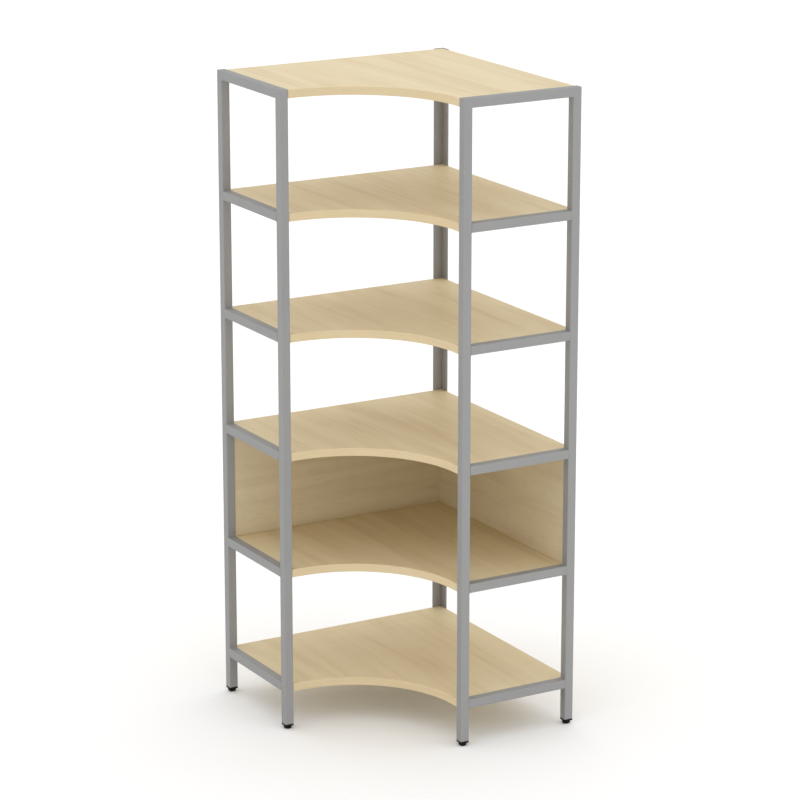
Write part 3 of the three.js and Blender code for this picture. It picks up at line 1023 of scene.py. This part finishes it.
inserts = insert_mesh()
for node in insert_nodes:
    place(f"{node}_moulded", inserts, node=node, at=centre_of(node))
print("inserts:", len(insert_nodes), "with plugs", round((INSERT_HEIGHT - FLANGE) / MM, 1), "mm long")

# %% [markdown]
# Below the insert stands the glide: a round pad moulded on a threaded stud. The pad is widest at
# its top and bevelled to a smaller foot, so that it slides over a carpet's edge. At rest the stud
# is hidden, but it shows as soon as a foot is screwed out, so it gets a true thread. Pad and stud
# ride on the glide's own body, and all else on the frame.

# %% Glides
PAD_HEIGHT = 10.0 * MM
PAD_TOP = 13.5 * MM
PAD_WAIST = 11.5 * MM
PAD_FOOT = 9.5 * MM
PAD_BEVEL = 2.0 * MM
PAD_SOFT = 0.7 * MM
PAD_SIDES = 64
THREAD_PITCH = 1.25 * MM
THREAD_ROOT = 3.3 * MM
THREAD_SIDES = 32
THREAD_STEPS_PER_PITCH = 8

glide_nodes = sorted(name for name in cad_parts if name.endswith("_glide"))
stud_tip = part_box(glide_nodes[0])[1].z


def pad_mesh():
    profile = [
        (PAD_FOOT - PAD_SOFT, 0),
        (PAD_FOOT, PAD_SOFT / 3),
        (PAD_WAIST - PAD_SOFT / 3, PAD_BEVEL - PAD_SOFT / 2),
        (PAD_WAIST, PAD_BEVEL + PAD_SOFT / 2),
        (PAD_TOP - PAD_SOFT / 4, PAD_HEIGHT - PAD_SOFT * 2),
        (PAD_TOP, PAD_HEIGHT - PAD_SOFT),
        (PAD_TOP - PAD_SOFT / 3, PAD_HEIGHT - PAD_SOFT / 4),
        (PAD_TOP - PAD_SOFT, PAD_HEIGHT),
    ]
    bm = bmesh.new()
    stack(bm, [turned_ring(radius, z, PAD_SIDES) for radius, z in profile])
    return shared_mesh("glide_pad", bm, [plastic])


def stud_mesh():
    bm = bmesh.new()
    steps = round((stud_tip - PAD_HEIGHT) / THREAD_PITCH * THREAD_STEPS_PER_PITCH)
    rings = [turned_ring(THREAD_ROOT, PAD_HEIGHT - PAD_SOFT, THREAD_SIDES)]
    for step in range(steps + 1):
        z = PAD_HEIGHT + (stud_tip - PAD_HEIGHT) * step / steps
        crest = min(STUD, THREAD_ROOT + max(0, stud_tip - z))
        rings.append(threaded_ring(THREAD_ROOT, crest, THREAD_PITCH, z, THREAD_SIDES))
    stack(bm, rings)
    return shared_mesh("glide_stud", bm, [zinc])


pads, studs = pad_mesh(), stud_mesh()
standing_pads = []
for node in glide_nodes:
    body = f"{node}_body"
    x, y, z = centre_of(node)
    standing_pads.append(place(f"{node}_pad", pads, body=body, node=node, at=(x, y, z)))
    place(f"{node}_stud", studs, body=body, at=(x, y, z))
print("glides:", len(glide_nodes), "studs up to", round(stud_tip, 4), "m")

# %% [markdown]
# The stage is a pale floor that runs on far beyond the picture. Seen by the camera it is pure
# white, so that only the unit's own shadow shows on it. For the light that it throws back up at
# the unit it is a little greyer, as no real floor is perfectly white. One mask of the light path
# tells the two apart, and the sky uses the same mask. It counts reflections as seen, so that
# bright metal shows the white surroundings too.
#
# A foot that is screwed out reaches lower than the others. The floor has one floor constraint
# for each pad, which keeps it from lying higher than that pad, so the lowest pad always stands
# on it and none sinks in.

# %% Floor
FLOOR_REACH = 40.0
FLOOR_LIT = (0.86, 0.86, 0.86, 1)
FLOOR_ROUGHNESS = 0.9


def seen(tree):
    """1 for what the camera sees, also by way of metal or glass, and 0 for what gives light."""
    path = tree.nodes.new("ShaderNodeLightPath")
    mask = path.outputs["Is Camera Ray"]
    for kind in ("Is Glossy Ray", "Is Transmission Ray"):
        either = tree.nodes.new("ShaderNodeMath")
        either.operation = "MAXIMUM"
        tree.links.new(mask, either.inputs[0])
        tree.links.new(path.outputs[kind], either.inputs[1])
        mask = either.outputs["Value"]
    return mask


def floor():
    mesh = bpy.data.meshes.new("floor")
    corners = [(x, y, 0) for x, y in rectangle(-FLOOR_REACH, FLOOR_REACH, -FLOOR_REACH, FLOOR_REACH)]
    mesh.from_pydata(corners, [], [(0, 1, 2, 3)])
    made = bpy.data.objects.new("floor", mesh)
    bpy.context.scene.collection.objects.link(made)
    material, tree, shader = new_material("floor_white")
    colour = tree.nodes.new("ShaderNodeMix")
    colour.data_type = "RGBA"
    colour.inputs["A"].default_value = FLOOR_LIT
    colour.inputs["B"].default_value = WHITE
    tree.links.new(seen(tree), colour.inputs["Factor"])
    tree.links.new(colour.outputs["Result"], shader.inputs["Base Color"])
    shader.inputs["Roughness"].default_value = FLOOR_ROUGHNESS
    shader.inputs["Specular IOR Level"].default_value = 0.0
    mesh.materials.append(material)
    for pad in standing_pads:
        rest = made.constraints.new("FLOOR")
        rest.target = pad
        rest.floor_location = "FLOOR_NEGATIVE_Z"
    return made


floor()
print("floor:", 2 * FLOOR_REACH, "m wide, reflects", FLOOR_LIT[0], "of the light")

# %% [markdown]
# The light is a soft sky alone: it comes from all round and grows towards the zenith. That is
# what gives the even greys on both outer sides, the gentle darkening under each shelf and the
# soft shadow with no direction. A lamp would have to be huge to be as soft, and would still
# leave an edge somewhere. The camera itself sees plain white behind the unit.

# %% Sky
HORIZON_LIGHT = 0.815
ZENITH_LIGHT = 1.385
WHITE_LIGHT = 1.0
HEIGHT_POWER = 2


def sky():
    world = bpy.data.worlds.new("white_studio")
    bpy.context.scene.world = world
    world.use_nodes = True
    tree = world.node_tree
    background = tree.nodes["Background"]
    background.inputs["Color"].default_value = WHITE
    where = tree.nodes.new("ShaderNodeTexCoord")
    parts = tree.nodes.new("ShaderNodeSeparateXYZ")
    height = tree.nodes.new("ShaderNodeMath")
    height.operation = "POWER"
    height.use_clamp = True
    height.inputs[1].default_value = HEIGHT_POWER
    light = tree.nodes.new("ShaderNodeMapRange")
    light.inputs["To Min"].default_value = HORIZON_LIGHT
    light.inputs["To Max"].default_value = ZENITH_LIGHT
    strength = tree.nodes.new("ShaderNodeMix")
    strength.inputs["B"].default_value = WHITE_LIGHT
    tree.links.new(where.outputs["Generated"], parts.inputs["Vector"])
    tree.links.new(parts.outputs["Z"], height.inputs[0])
    tree.links.new(height.outputs["Value"], light.inputs["Value"])
    tree.links.new(seen(tree), strength.inputs["Factor"])
    tree.links.new(light.outputs["Result"], strength.inputs["A"])
    tree.links.new(strength.outputs["Result"], background.inputs["Strength"])


sky()
print("sky: light", HORIZON_LIGHT, "at the horizon and", ZENITH_LIGHT, "overhead")

# %% [markdown]
# The camera stands where the photograph's stood: to the left, a little above, and ten metres
# off, so each piece hides the same part of the pieces behind it. Upright edges in the photograph
# stay parallel, which takes a lens shift of more than a whole picture. A shift that large would
# throw the unit out of every other view, so this camera tilts down instead, and upright edges
# draw together a little towards the floor.

# %% Camera
AZIMUTH = math.radians(-30.04)
ELEVATION = math.radians(15.64)
DISTANCE = 10.0
LENS = 148.4
SENSOR_WIDTH = 36
SIGHT = 100
AIM = Vector((0.003, -0.014, 0.994))


def camera():
    data = bpy.data.cameras.new("camera")
    data.lens = LENS
    data.sensor_width = SENSOR_WIDTH
    data.clip_end = SIGHT
    made = bpy.data.objects.new("camera", data)
    back = Vector((
        math.sin(AZIMUTH) * math.cos(ELEVATION),
        -math.cos(AZIMUTH) * math.cos(ELEVATION),
        math.sin(ELEVATION),
    ))
    made.location = AIM + back * DISTANCE
    made.rotation_mode = "QUATERNION"
    made.rotation_quaternion = back.to_track_quat("Z", "Y")
    bpy.context.scene.collection.objects.link(made)
    bpy.context.scene.camera = made
    return made


eye = camera()
bpy.context.scene.view_settings.view_transform = "Standard"
print("camera at", [round(x, 2) for x in eye.location], "m, lens", LENS, "mm")
